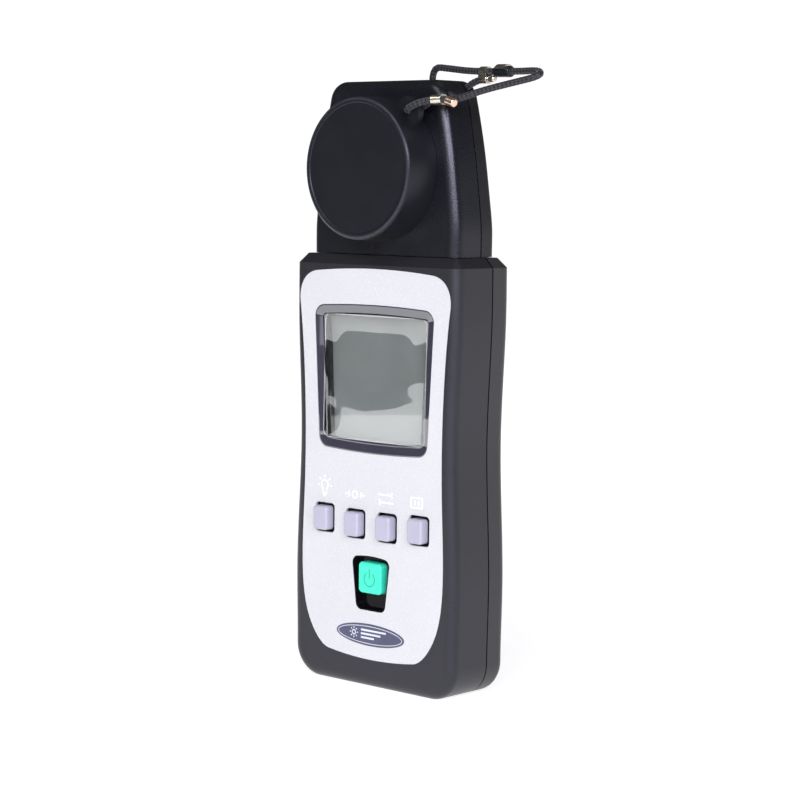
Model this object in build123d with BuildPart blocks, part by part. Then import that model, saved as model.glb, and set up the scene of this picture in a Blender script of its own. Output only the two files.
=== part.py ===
"""Handheld light meter: waisted case, swivelling sensor head, push-on sensor cap and tether.

Millimetres. The origin is the middle of the case's bottom edge, +X to the right seen from the
front, the front faces -Y, +Z up.
"""
from math import pi, radians, sqrt, tan
import os

from build123d import *

# ---- Driving dimensions ----
# Case
CASE_FRONT = -9.9
CASE_BACK = 9.9
CASE_TOP = 106.7
CASE_PARTING = 3.0
CASE_WALL = 2.0
CASE_EDGE = 2.6
TOP_WALL = 2.5
SHOULDER = 2.35
# Face plate, display and badge
PLATE = 0.7
LENS_FACE = -9.8
LENS_BACK = -8.4
LENS_DISH = 0.7
LENS_RIM = 2.9
LCD_SEAT = -6.5
GLASS_BACK = -5.95
BADGE_Z = 13.25
BADGE_RX = 11.4
BADGE_RZ = 2.75
# Keys
KEY_X = (-15.85, -5.28, 5.28, 15.85)
KEY_Z = (41.0, 40.5, 40.5, 41.0)
KEY_NAMES = ("key_light", "key_zero", "key_unit", "key_hold")
KEY_W = 4.75
KEY_H = 6.0
KEY_HOLE_W = 6.65
KEY_HOLE_H = 7.4
KEY_FACE = -11.9
KEY_FLANGE = -7.85
POWER_Z = 27.5
POWER_W = 7.6
POWER_H = 7.7
POWER_FACE = -10.4
BEZEL_FLOOR = -8.0
BEZEL_BACK = -7.2
MAT_FACE = -5.9
PCB_FACE = -5.5
PCB_BACK = -4.3
# Battery bay
CELL_R = 5.25
CELL_PITCH = 10.9
CELL_Y = 2.75
BAY_X = 16.4
BAY_BOTTOM = 11.4
BAY_TOP = 59.0
BAY_FLOOR = -2.7
BAY_WALL = 0.9
DOOR_SEAT = 8.4
DOOR_GAP = 0.06
# Screws
CASE_SCREWS = ((-20.8, 9.6), (20.8, 9.6), (-21.4, 97.6), (21.4, 97.6))
HEAD_SCREWS = ((-18.0, 113.0), (18.0, 113.0), (-15.4, 138.6), (15.4, 138.6))
SCREW_R = 1.0
BOSS_R = 2.6
# Head
HEAD_BOTTOM = 106.85
HEAD_TOP = 149.0
HEAD_FRONT = -6.93
HEAD_BACK = 7.0
HEAD_TOP_BACK = 6.1
HEAD_PARTING = 2.0
HEAD_WALL = 1.8
NECK_R = 3.4
NECK_FLANGE_R = 4.25
NECK_BORE = 2.0
# Sensor and cap
SENSOR_Z = 127.8
SPOUT_R = 15.4
SPOUT_BORE = 12.15
SPOUT_FACE = -12.6
DOME_TOP = -13.5
CAP_FACE = -16.4
CAP_R = 17.2
CAP_BASE_R = 17.6
CAP_EDGE = 0.8
CAP_RING_R = 15.6
CAP_BASE = -7.03
TAB_X = 12.2
TAB_Z = 141.2
TAB_R = 3.7
TAB_FRONT = -11.75
TAB_BACK = -10.05
# Tether
CORD_R = 0.85
LUG_R = 1.35
CORD_PITCH = 1.75
BAND_WALL = 0.35
TIP_R = 1.1
SLEEVE_R = 1.35
# Direction of the cord through each crimp band, and the points of each route
BAND_1_DIR = (0.962, 0.267, 0.053)
BAND_2_DIR = (0.99253, -0.1191, -0.02647)
MEET = (22.0, -8.615, 144.064)
LOOP_ROUTE = (MEET, (17.9, -9.753, 143.838), (16.0, -9.1, 143.1), (12.5, -8.8, 141.5),
              (12.5, -13.0, 141.5), (16.0, -12.7, 143.1), (18.367, -11.437, 143.838),
              (22.6, -10.262, 144.071), (24.7, -10.2, 143.42))
CORD_ROUTE = (MEET, (25.0, -7.782, 144.229), (30.5, -6.0, 146.1), (38.2, -3.7, 147.9), (44.8, -2.2, 149.3),
              (42.4, 0.8, 150.8), (34.6, 1.5, 150.7), (19.6, 3.3, 151.1), (11.6, 3.9, 152.0),
              (6.0, 4.0, 152.6), (6.0, 4.0, 145.4), (14.6, 4.0, 145.5), (20.894, 3.139, 149.315),
              (25.36, 2.603, 149.196))
LUG_ROUTE = ((6.0, 4.0, 152.6), (6.0, 4.0, 145.4), (14.6, 4.0, 145.5), (22.0, 4.0, 149.6))

os.makedirs("parts", exist_ok=True)


def at_y(y):
    """Front view plane at depth y: its own x is +X, its own y is +Z, extrusions go forward."""
    return Plane.XZ.offset(-y)


def save(builder, name):
    builder.part.label = name
    export_step(builder.part, "parts/" + name + ".step")


def blank(outline, front, back):
    """Slab of one outline between two depths."""
    with BuildPart() as slab:
        with BuildSketch(at_y(back)):
            add(outline)
        extrude(amount=back - front)
    return slab.part


def inset(outline, amount):
    with BuildSketch() as smaller:
        add(outline)
        offset(amount=-amount)
    return smaller.sketch


def tube(title, route, radius):
    """Round bar along straight runs joined by tangent arcs."""
    runs = [Vector(b) - Vector(a) for a, b in zip(route, route[1:])]
    bends = []
    for before, after in zip(runs, runs[1:]):
        half = radians(before.get_angle(after)) / 2
        bends.append(0.45 * min(before.length, after.length) / tan(half))
    with BuildPart() as bar:
        with BuildLine() as path:
            FilletPolyline(*route, radius=bends)
        with BuildSketch(Plane(origin=route[0], z_dir=runs[0])):
            Circle(radius)
        sweep()
    length = sum(edge.length for edge in path.edges())
    print(title, "bend radii", [round(bend, 2) for bend in bends])
    print(title, "volume", round(bar.part.volume, 2), "section x length",
          round(pi * radius ** 2 * length, 2))
    return bar


# ---- Outlines, drawn in front view ----
def case_profile(wall, top):
    """Case outline moved inwards by a wall thickness."""
    r = 8.0 - wall
    with BuildSketch() as profile:
        with BuildLine():
            Line((0, wall), (18.8, wall))
            ThreePointArc((18.8, wall), (18.8 + r * 0.7071, 8.0 - r * 0.7071), (18.8 + r, 8.0))
            Spline((26.8 - wall, 8.0), (27.1 - wall, 28.0), (25.9 - wall, 62.0), (27.0 - wall, 92.0),
                   (27.0 - wall, top), tangents=((0, 1), (0, 1)))
            Line((27.0 - wall, top), (0, top))
            mirror(about=Plane.YZ)
        make_face()
    return profile.sketch


def head_profile(wall):
    """Head outline moved inwards by a wall thickness."""
    with BuildSketch() as profile:
        with BuildLine():
            Line((0, HEAD_BOTTOM + wall), (24.0 - wall, HEAD_BOTTOM + wall))
            Spline((24.0 - wall, HEAD_BOTTOM + wall), (24.0 - wall, 113.5), (23.3 - wall, 120.5),
                   (21.8 - wall, 132.0), (19.8 - wall, 142.4), (18.3 - wall, HEAD_TOP - wall),
                   tangents=((0, 1), (-0.22, 1)))
            Line((18.3 - wall, HEAD_TOP - wall), (0, HEAD_TOP - wall))
            mirror(about=Plane.YZ)
        make_face()
        top_corners = profile.vertices().group_by(Axis.Y)[-1].sort_by(Axis.X)
        fillet((top_corners[0], top_corners[-1]), 5.0 - wall)
    return profile.sketch


with BuildSketch() as plate_outline:
    with BuildLine():
        ThreePointArc((0, 7.1), (7.0, 7.35), (14.0, 8.1))
        Spline((14.0, 8.1), (19.3, 12.0), (22.2, 18.0), (23.6, 28.0), (23.1, 47.0), (22.84, 62.0),
               (23.35, 77.5), (24.95, 94.6), tangents=((1.0, 0.12), (0.135, 1.0)), tangent_scalars=(1.0, 1.0))
        Bezier((24.95, 94.6), (25.5, 98.9), (23.4, 102.18), (19.0, 102.6))
        ThreePointArc((19.0, 102.6), (9.5, 103.27), (0, 103.5))
        mirror(about=Plane.YZ)
    make_face()

with BuildSketch() as window_outline:
    with BuildLine():
        ThreePointArc((-20.0, 94.0), (0, 94.75), (20.0, 94.0))
        Line((20.0, 94.0), (18.05, 58.9))
        ThreePointArc((18.05, 58.9), (0, 58.2), (-18.05, 58.9))
        Line((-18.05, 58.9), (-20.0, 94.0))
    make_face()
    fillet(window_outline.vertices(), 3.0)

with BuildSketch() as bezel_outline:
    with BuildLine():
        ThreePointArc((-6.4, 32.3), (0, 32.95), (6.4, 32.3))
        Line((6.4, 32.3), (4.8, 19.3))
        Line((4.8, 19.3), (-4.8, 19.3))
        Line((-4.8, 19.3), (-6.4, 32.3))
    make_face()
    fillet(bezel_outline.vertices(), 1.8)

PLATE_FACE = plate_outline.sketch
WINDOW = window_outline.sketch
BEZEL = bezel_outline.sketch

# ---- Case envelope: edges rounded front and back, bevelled shoulder round the top ----
with BuildPart() as case_body:
    add(blank(case_profile(0, CASE_TOP), CASE_FRONT, CASE_BACK))
    for side in (case_body.faces().sort_by(Axis.Y)[0], case_body.faces().sort_by(Axis.Y)[-1]):
        fillet(side.edges().filter_by(lambda e: e.center().Z < CASE_TOP - 0.01), CASE_EDGE)
    chamfer(case_body.faces().sort_by(Axis.Z)[-1].edges(), SHOULDER)

with BuildPart() as case_cavity:
    add(blank(case_profile(CASE_WALL, CASE_TOP - TOP_WALL), CASE_FRONT + CASE_WALL,
              CASE_BACK - CASE_WALL))


# ---- Screws: pan head with a cross slot, axis along Y, head towards the back ----
def screws(places, head_y, head_r, head_h, length):
    with BuildPart() as batch:
        for x, z in places:
            with BuildSketch(at_y(head_y)):
                with Locations((x, z)):
                    Circle(head_r)
            extrude(amount=head_h)
            with BuildSketch(at_y(head_y)):
                with Locations((x, z)):
                    Circle(SCREW_R)
            extrude(amount=length)
            with BuildSketch(at_y(head_y)):
                with Locations((x, z)):
                    Rectangle(head_r * 1.3, 0.5)
                    Rectangle(0.5, head_r * 1.3)
            extrude(amount=head_h * 0.5, mode=Mode.SUBTRACT)
    return batch


# ---- Front case: plate pocket, window, key holes, bosses and board posts ----
with BuildPart() as front_case:
    add(case_body.part)
    split(bisect_by=Plane.XZ.offset(-CASE_PARTING), keep=Keep.TOP)
    add(case_cavity.part, mode=Mode.SUBTRACT)
    # Thicker wall round the display carries the lens and the glass
    with BuildSketch(at_y(LCD_SEAT)):
        with Locations((0, 76.6)):
            Rectangle(44.5, 40.0)
    extrude(amount=LCD_SEAT - CASE_FRONT - CASE_WALL)
    with BuildSketch(at_y(CASE_PARTING)):
        with Locations(*CASE_SCREWS):
            Circle(BOSS_R)
    extrude(amount=CASE_PARTING - CASE_FRONT - CASE_WALL)
    with BuildSketch(at_y(PCB_FACE)):
        with Locations((-16.6, 17.0), (16.6, 17.0), (-16.6, 51.5), (16.6, 51.5)):
            Circle(1.2)
    extrude(amount=PCB_FACE - CASE_FRONT - CASE_WALL)
    with BuildSketch(at_y(CASE_FRONT + PLATE)):
        add(PLATE_FACE)
    extrude(amount=PLATE + 0.5, mode=Mode.SUBTRACT)
    with BuildSketch(at_y(LENS_BACK)):
        add(WINDOW)
    extrude(amount=2, mode=Mode.SUBTRACT)
    with BuildSketch(at_y(0)):
        add(inset(WINDOW, 2.2))
    extrude(amount=10, mode=Mode.SUBTRACT)
    with BuildSketch(at_y(-5)):
        for x, z in zip(KEY_X, KEY_Z):
            with Locations((x, z)):
                RectangleRounded(KEY_HOLE_W, KEY_HOLE_H, 1.1)
    extrude(amount=6, mode=Mode.SUBTRACT)
    with BuildSketch(at_y(-5)):
        add(BEZEL)
    extrude(amount=6, mode=Mode.SUBTRACT)
    with BuildSketch(at_y(CASE_PARTING)):
        with Locations(*CASE_SCREWS):
            Circle(SCREW_R)
    extrude(amount=6.5, mode=Mode.SUBTRACT)
    with BuildSketch(Plane.XY.offset(CASE_TOP - 5)):
        Circle(NECK_R + 0.05)
    extrude(amount=8, mode=Mode.SUBTRACT)
save(front_case, "front_case")

# ---- Rear case: battery bay with its door seat, screw wells ----
with BuildPart() as rear_case:
    add(case_body.part)
    split(bisect_by=Plane.XZ.offset(-CASE_PARTING), keep=Keep.BOTTOM)
    add(case_cavity.part, mode=Mode.SUBTRACT)
    with BuildSketch(at_y(CASE_BACK - 1.0)):
        with Locations((0, (BAY_BOTTOM + BAY_TOP) / 2)):
            Rectangle(2 * (BAY_X + BAY_WALL), BAY_TOP - BAY_BOTTOM + 2 * BAY_WALL)
    extrude(amount=CASE_BACK - 1.0 - BAY_FLOOR + BAY_WALL)
    with BuildSketch(at_y(CASE_BACK - 1.0)):
        with Locations(*CASE_SCREWS):
            Circle(BOSS_R + 0.6)
        with Locations((0, 63.0)):
            Circle(2.6)
    extrude(amount=CASE_BACK - 1.0 - CASE_PARTING)
    with BuildSketch(at_y(CASE_BACK + 1)):
        with Locations((0, (BAY_BOTTOM + BAY_TOP) / 2)):
            Rectangle(2 * BAY_X, BAY_TOP - BAY_BOTTOM)
    extrude(amount=CASE_BACK + 1 - BAY_FLOOR, mode=Mode.SUBTRACT)
    with BuildSketch(at_y(CASE_BACK + 1)):
        with Locations((0, (BAY_BOTTOM + BAY_TOP) / 2)):
            Rectangle(2 * BAY_X + 1.4, BAY_TOP - BAY_BOTTOM + 1.4)
        with Locations((0, 62.4)):
            RectangleRounded(8.0, 7.0, 2.0)
    extrude(amount=CASE_BACK + 1 - DOOR_SEAT, mode=Mode.SUBTRACT)
    with BuildSketch(at_y(CASE_BACK + 1)):
        with Locations((0, 63.0)):
            Circle(SCREW_R + 0.05)
        with Locations(*CASE_SCREWS):
            Circle(SCREW_R + 0.2)
    extrude(amount=8.0, mode=Mode.SUBTRACT)
    with BuildSketch(at_y(CASE_BACK + 1)):
        with Locations(*CASE_SCREWS):
            Circle(2.2)
    extrude(amount=CASE_BACK + 1 - 5.8, mode=Mode.SUBTRACT)
    with BuildSketch(Plane.XY.offset(CASE_TOP - 5)):
        Circle(NECK_R + 0.05)
    extrude(amount=8, mode=Mode.SUBTRACT)
save(rear_case, "rear_case")

save(screws(CASE_SCREWS, 7.2, 2.0, 1.4, 9.5), "case_screws")

# ---- Face plate and badge ----
with BuildPart() as faceplate:
    add(blank(PLATE_FACE, CASE_FRONT, CASE_FRONT + PLATE))
    with BuildSketch(at_y(-9)):
        add(WINDOW)
        add(BEZEL)
        for x, z in zip(KEY_X, KEY_Z):
            with Locations((x, z)):
                RectangleRounded(KEY_HOLE_W, KEY_HOLE_H, 1.1)
    extrude(amount=2, mode=Mode.SUBTRACT)
    with BuildSketch(at_y(CASE_FRONT + 0.3)):
        with Locations((0, BADGE_Z)):
            Ellipse(BADGE_RX, BADGE_RZ)
    extrude(amount=1, mode=Mode.SUBTRACT)
save(faceplate, "faceplate")

with BuildPart() as badge:
    with BuildSketch(at_y(CASE_FRONT + 0.3)):
        with Locations((0, BADGE_Z)):
            Ellipse(BADGE_RX, BADGE_RZ)
    extrude(amount=0.42)
    fillet(badge.faces().sort_by(Axis.Y)[0].edges(), 0.1)
save(badge, "badge")

# ---- Display: dished lens, glass, frame and light panel ----
with BuildPart() as lcd_lens:
    add(blank(inset(WINDOW, 0.04), LENS_FACE, LENS_BACK))
    with BuildSketch(at_y(LENS_FACE)):
        add(inset(WINDOW, 0.3))
    with BuildSketch(at_y(LENS_FACE + LENS_DISH)):
        add(inset(WINDOW, LENS_RIM))
    loft(mode=Mode.SUBTRACT)
save(lcd_lens, "lcd_lens")

with BuildPart() as lcd_frame:
    with BuildSketch(at_y(PCB_FACE)):
        with Locations((0, 76.6)):
            RectangleRounded(43.0, 36.6, 1.0)
            Rectangle(39.4, 35.2, mode=Mode.SUBTRACT)
    extrude(amount=PCB_FACE - LCD_SEAT)
save(lcd_frame, "lcd_frame")

with BuildPart() as lcd_glass:
    with BuildSketch(at_y(GLASS_BACK)):
        with Locations((0, 76.6)):
            Rectangle(39.2, 35.0)
    extrude(amount=GLASS_BACK - LCD_SEAT)
save(lcd_glass, "lcd_glass")

with BuildPart() as backlight:
    with BuildSketch(at_y(PCB_FACE)):
        with Locations((0, 76.6)):
            Rectangle(38.4, 34.2)
    extrude(amount=PCB_FACE - GLASS_BACK)
save(backlight, "backlight")

# ---- Keypad mat and main board ----
with BuildPart() as keypad_mat:
    with BuildSketch(at_y(PCB_FACE)):
        with Locations((0, 35.5)):
            RectangleRounded(40.0, 24.0, 2.0)
    extrude(amount=PCB_FACE - MAT_FACE)
save(keypad_mat, "keypad_mat")

with BuildPart() as main_board:
    with BuildSketch(at_y(PCB_BACK)):
        with Locations((0, 51.5)):
            RectangleRounded(36.4, 93.0, 1.5)
    extrude(amount=PCB_BACK - PCB_FACE)
save(main_board, "main_board")

# ---- Keys: crowned cap, retaining flange behind the wall, stem down to the mat ----
for key_name, key_x, key_z in zip(KEY_NAMES, KEY_X, KEY_Z):
    with BuildPart() as key:
        with BuildSketch(at_y(KEY_FLANGE)):
            with Locations((key_x, key_z)):
                RectangleRounded(KEY_W, KEY_H, 0.9)
        extrude(amount=KEY_FLANGE - KEY_FACE)
        key_rim = key.faces().sort_by(Axis.Y)[0].edges()
        fillet(key_rim, 0.5)
        with BuildSketch(at_y(KEY_FLANGE + 0.7)):
            with Locations((key_x, key_z)):
                RectangleRounded(KEY_HOLE_W + 1.2, KEY_HOLE_H + 1.0, 1.0)
        extrude(amount=0.7)
        with BuildSketch(at_y(KEY_FLANGE + 1.3)):
            with Locations((key_x, key_z)):
                Circle(1.5)
        extrude(amount=0.7)
    save(key, key_name)

# ---- Power key and its glossy dish ----
with BuildPart() as power_bezel:
    add(blank(BEZEL, CASE_FRONT, BEZEL_BACK))
    with BuildSketch(at_y(CASE_FRONT)):
        add(inset(BEZEL, 0.3))
    with BuildSketch(at_y(BEZEL_FLOOR)):
        add(inset(BEZEL, 0.75))
    loft(mode=Mode.SUBTRACT)
    with BuildSketch(at_y(-7)):
        with Locations((0, POWER_Z)):
            RectangleRounded(POWER_W + 0.12, POWER_H + 0.12, 1.2)
    extrude(amount=2, mode=Mode.SUBTRACT)
save(power_bezel, "power_bezel")

with BuildPart() as power_button:
    with BuildSketch(at_y(BEZEL_BACK + 0.05)):
        with Locations((0, POWER_Z)):
            RectangleRounded(POWER_W, POWER_H, 1.15)
    extrude(amount=BEZEL_BACK + 0.05 - POWER_FACE)
    fillet(power_button.faces().sort_by(Axis.Y)[0].edges(), 0.5)
    with BuildSketch(at_y(BEZEL_BACK + 0.6)):
        with Locations((0, POWER_Z)):
            RectangleRounded(POWER_W + 1.2, POWER_H + 1.4, 1.2)
    extrude(amount=0.55)
save(power_button, "power_button")

# ---- Cells, contacts and door ----
with BuildPart() as battery_cells:
    for i in range(3):
        up = 1 if i % 2 == 0 else -1
        with BuildSketch(Plane.XY.offset(13.2)):
            with Locations(((i - 1) * CELL_PITCH, CELL_Y)):
                Circle(CELL_R)
        extrude(amount=43.3)
        with BuildSketch(Plane.XY.offset(56.5 if up > 0 else 13.2)):
            with Locations(((i - 1) * CELL_PITCH, CELL_Y)):
                Circle(1.9)
        extrude(amount=up * 1.0)
    rims = battery_cells.edges().filter_by(GeomType.CIRCLE)
    fillet(rims.filter_by(lambda e: e.radius > CELL_R - 0.1), 0.4)
save(battery_cells, "battery_cells")

with BuildPart() as battery_contacts:
    for level, tip in ((BAY_BOTTOM, 0.35), (BAY_TOP - 0.4, -0.9)):
        with BuildSketch(Plane.XY.offset(level)):
            with Locations((0, CELL_Y)):
                Rectangle(2 * BAY_X - 0.2, 8.0)
        extrude(amount=0.4)
        with BuildSketch(Plane.XY.offset(level + (0.4 if tip > 0 else 0))):
            with Locations(*[((i - 1) * CELL_PITCH, CELL_Y) for i in (0, 1, 2)]):
                Circle(1.6)
        extrude(amount=tip, taper=25)
save(battery_contacts, "battery_contacts")

with BuildPart() as battery_door:
    with BuildSketch(at_y(CASE_BACK)):
        with Locations((0, (BAY_BOTTOM + BAY_TOP) / 2)):
            Rectangle(2 * BAY_X + 1.4 - 2 * DOOR_GAP, BAY_TOP - BAY_BOTTOM + 1.4 - 2 * DOOR_GAP)
        with Locations((0, 62.4)):
            RectangleRounded(8.0 - 2 * DOOR_GAP, 7.0 - 2 * DOOR_GAP, 2.0 - DOOR_GAP)
    extrude(amount=CASE_BACK - DOOR_SEAT - 0.02)
    with BuildSketch(at_y(CASE_BACK)):
        with Locations(*[(0, 18.0 + 1.6 * i) for i in range(5)]):
            Rectangle(14.0, 0.8)
    extrude(amount=0.4, mode=Mode.SUBTRACT)
    with BuildSketch(at_y(CASE_BACK)):
        with Locations((0, 63.0)):
            Circle(SCREW_R)
    extrude(amount=2, mode=Mode.SUBTRACT)
    with BuildSketch(at_y(CASE_BACK)):
        with Locations((0, 63.0)):
            Circle(1.8)
    extrude(amount=0.9, mode=Mode.SUBTRACT)
save(battery_door, "battery_door")
save(screws([(0, 63.0)], 9.85, 1.75, 0.85, 4.5), "door_screw")

# ---- Head envelope: back leans in towards the top ----
with BuildPart() as head_body:
    add(blank(head_profile(0), HEAD_FRONT, HEAD_BACK))
    with BuildSketch(Plane.YZ):
        with BuildLine():
            Polyline((HEAD_BACK, 113.0), (HEAD_TOP_BACK, HEAD_TOP), (HEAD_BACK + 3, HEAD_TOP),
                     (HEAD_BACK + 3, 113.0), (HEAD_BACK, 113.0))
        make_face()
    extrude(amount=30, both=True, mode=Mode.SUBTRACT)
    head_front_edges = head_body.faces().sort_by(Axis.Y)[0].edges()
    fillet(head_front_edges.filter_by(lambda e: e.center().Z > HEAD_BOTTOM + 0.1), 2.6)
    head_back_edges = head_body.edges().filter_by(lambda e: e.center().Y > 5.5)
    fillet(head_back_edges.filter_by(lambda e: abs(e.center().X) > 1 or e.center().Z > 140), 1.4)

lug_tunnel = tube("lug tunnel", LUG_ROUTE, LUG_R)

with BuildPart() as head_cavity:
    add(blank(head_profile(HEAD_WALL), HEAD_FRONT + HEAD_WALL, HEAD_TOP_BACK - HEAD_WALL))
    with BuildSketch(at_y(HEAD_PARTING + 4)):
        with Locations((13.0, 146.0)):
            Rectangle(20.0, 6.4)
    extrude(amount=5, mode=Mode.SUBTRACT)


# ---- Head front: spout for the sensor, bosses ----
with BuildPart() as head_front:
    add(head_body.part)
    split(bisect_by=Plane.XZ.offset(-HEAD_PARTING), keep=Keep.TOP)
    add(head_cavity.part, mode=Mode.SUBTRACT)
    with BuildSketch(at_y(HEAD_PARTING)):
        with Locations(*HEAD_SCREWS):
            Circle(BOSS_R)
    extrude(amount=HEAD_PARTING - HEAD_FRONT - HEAD_WALL)
    with BuildSketch(at_y(HEAD_FRONT + 0.5)):
        with Locations((0, SENSOR_Z)):
            Circle(SPOUT_R)
    extrude(amount=HEAD_FRONT + 0.5 - SPOUT_FACE)
    with BuildSketch(at_y(HEAD_FRONT)):
        with Locations((0, SENSOR_Z)):
            Circle(SPOUT_BORE)
    extrude(amount=6, mode=Mode.SUBTRACT)
    with BuildSketch(at_y(0)):
        with Locations((0, SENSOR_Z)):
            Circle(9.0)
    extrude(amount=8, mode=Mode.SUBTRACT)
    with BuildSketch(at_y(HEAD_PARTING)):
        with Locations(*HEAD_SCREWS):
            Circle(SCREW_R)
    extrude(amount=6.5, mode=Mode.SUBTRACT)
    with BuildSketch(Plane.XY.offset(HEAD_BOTTOM - 1)):
        Circle(NECK_R)
    extrude(amount=4, mode=Mode.SUBTRACT)
save(head_front, "head_front")

with BuildPart() as head_rear:
    add(head_body.part)
    split(bisect_by=Plane.XZ.offset(-HEAD_PARTING), keep=Keep.BOTTOM)
    add(head_cavity.part, mode=Mode.SUBTRACT)
    with BuildSketch(at_y(HEAD_TOP_BACK - 1)):
        with Locations(*HEAD_SCREWS):
            Circle(BOSS_R)
    extrude(amount=HEAD_TOP_BACK - 1 - HEAD_PARTING)
    with BuildSketch(at_y(HEAD_BACK + 1)):
        with Locations(*HEAD_SCREWS):
            Circle(SCREW_R + 0.2)
    extrude(amount=7, mode=Mode.SUBTRACT)
    with BuildSketch(at_y(HEAD_BACK + 1)):
        with Locations(*HEAD_SCREWS):
            Circle(1.95)
    extrude(amount=HEAD_BACK + 1 - 4.4, mode=Mode.SUBTRACT)
    with BuildSketch(Plane.XY.offset(HEAD_BOTTOM - 1)):
        Circle(NECK_R)
    extrude(amount=4, mode=Mode.SUBTRACT)
    add(lug_tunnel.part, mode=Mode.SUBTRACT)
save(head_rear, "head_rear")

save(screws(HEAD_SCREWS, 5.7, 1.75, 1.3, 9.0), "head_screws")

# ---- Neck and its retaining ring ----
with BuildPart() as neck_tube:
    with BuildSketch(Plane.XZ):
        with BuildLine():
            Polyline((NECK_BORE, 101.2), (NECK_R, 101.2), (NECK_R, 102.5), (NECK_R - 0.6, 102.5),
                     (NECK_R - 0.6, 103.5), (NECK_R, 103.5), (NECK_R, 108.8), (NECK_FLANGE_R, 108.8),
                     (NECK_FLANGE_R, 110.2), (NECK_BORE, 110.2), (NECK_BORE, 101.2))
        make_face()
    revolve(axis=Axis.Z)
save(neck_tube, "neck_tube")

with BuildPart() as neck_ring:
    with BuildSketch(Plane.XY.offset(102.5)):
        Circle(6.2)
        Circle(NECK_R - 0.6, mode=Mode.SUBTRACT)
    extrude(amount=1.0)
save(neck_ring, "neck_ring")

# ---- Sensor stack: diffuser dome, filter, photodiode, board ----
dome_r = (11.4 ** 2 + (DOME_TOP + 10.9) ** 2) / (2 * (-10.9 - DOME_TOP))
dome_mid = DOME_TOP + dome_r - sqrt(dome_r ** 2 - 6.0 ** 2)

with BuildPart() as diffuser:
    with BuildSketch(Plane.YZ):
        with BuildLine():
            Polyline((HEAD_FRONT, SENSOR_Z), (HEAD_FRONT, SENSOR_Z + 12.1),
                     (-10.4, SENSOR_Z + 12.1), (-10.9, SENSOR_Z + 11.4))
            ThreePointArc((-10.9, SENSOR_Z + 11.4), (dome_mid, SENSOR_Z + 6.0), (DOME_TOP, SENSOR_Z))
            Line((DOME_TOP, SENSOR_Z), (HEAD_FRONT, SENSOR_Z))
        make_face()
    revolve(axis=Axis((0, 0, SENSOR_Z), (0, 1, 0)))
save(diffuser, "diffuser")

with BuildPart() as colour_filter:
    with BuildSketch(at_y(-5.4)):
        with Locations((0, SENSOR_Z)):
            Circle(8.9)
    extrude(amount=-5.4 - HEAD_FRONT)
save(colour_filter, "colour_filter")

with BuildPart() as photodiode:
    with BuildSketch(at_y(-3.4)):
        with Locations((0, SENSOR_Z)):
            Rectangle(8.0, 8.0)
    extrude(amount=1.4)
    with BuildSketch(at_y(-4.8)):
        with Locations((0, SENSOR_Z)):
            Rectangle(5.0, 5.0)
    extrude(amount=-0.3, mode=Mode.SUBTRACT)
save(photodiode, "photodiode")

with BuildPart() as sensor_board:
    with BuildSketch(at_y(-2.4)):
        with Locations((0, SENSOR_Z)):
            Rectangle(24.0, 22.0)
    extrude(amount=1.0)
    with BuildSketch(at_y(HEAD_FRONT + HEAD_WALL)):
        with Locations((-10.5, 118.5), (10.5, 118.5), (-10.5, 136.4), (10.5, 136.4)):
            Circle(0.9)
    extrude(amount=HEAD_FRONT + HEAD_WALL + 3.4)
save(sensor_board, "sensor_board")

# ---- Sensor cap: cup with rounded face, fine lip and the tether tab ----
with BuildPart() as sensor_cap:
    with BuildSketch(Plane.YZ):
        with BuildLine():
            Line((CAP_FACE + 0.2, SENSOR_Z), (CAP_FACE + 0.2, SENSOR_Z + CAP_RING_R))
            Line((CAP_FACE + 0.2, SENSOR_Z + CAP_RING_R), (CAP_FACE, SENSOR_Z + CAP_RING_R + 0.25))
            Line((CAP_FACE, SENSOR_Z + CAP_RING_R + 0.25), (CAP_FACE, SENSOR_Z + CAP_R - CAP_EDGE))
            RadiusArc((CAP_FACE, SENSOR_Z + CAP_R - CAP_EDGE), (CAP_FACE + CAP_EDGE, SENSOR_Z + CAP_R), CAP_EDGE)
            Polyline((CAP_FACE + CAP_EDGE, SENSOR_Z + CAP_R), (CAP_BASE, SENSOR_Z + CAP_BASE_R),
                     (CAP_BASE, SENSOR_Z + SPOUT_R + 0.05), (CAP_FACE + 1.6, SENSOR_Z + SPOUT_R + 0.05),
                     (CAP_FACE + 1.6, SENSOR_Z), (CAP_FACE + 0.2, SENSOR_Z))
        make_face()
    revolve(axis=Axis((0, 0, SENSOR_Z), (0, 1, 0)))
    with BuildSketch(at_y(TAB_BACK)):
        with Locations((TAB_X, TAB_Z)):
            Circle(TAB_R)
        with Locations((TAB_X - 2.0, TAB_Z - 2.4)):
            Circle(TAB_R)
        make_hull()
        with Locations((0, SENSOR_Z)):
            Circle(CAP_R - 0.4, mode=Mode.SUBTRACT)
    extrude(amount=TAB_BACK - TAB_FRONT)
    with BuildSketch(at_y(TAB_BACK + 1)):
        with Locations((12.5, 141.5)):
            Circle(CORD_R + 0.4)
    extrude(amount=4, mode=Mode.SUBTRACT)
save(sensor_cap, "sensor_cap")

# ---- Tether: cords, crimp bands, end tips, sleeve and collar ----
save(tube("tether_loop", LOOP_ROUTE, CORD_R), "tether_loop")
save(tube("tether_cord", CORD_ROUTE, CORD_R), "tether_cord")


def crimp_band(middle, direction, spread, length):
    """Flattened tube round two strands lying side by side along spread."""
    with BuildPart() as band:
        start = Vector(middle) - Vector(direction) * (length / 2)
        with BuildSketch(Plane(origin=start, x_dir=spread, z_dir=direction)):
            SlotCenterToCenter(CORD_PITCH, 2 * (CORD_R + BAND_WALL))
            SlotCenterToCenter(CORD_PITCH, 2 * CORD_R, mode=Mode.SUBTRACT)
        extrude(amount=length)
    return band


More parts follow.
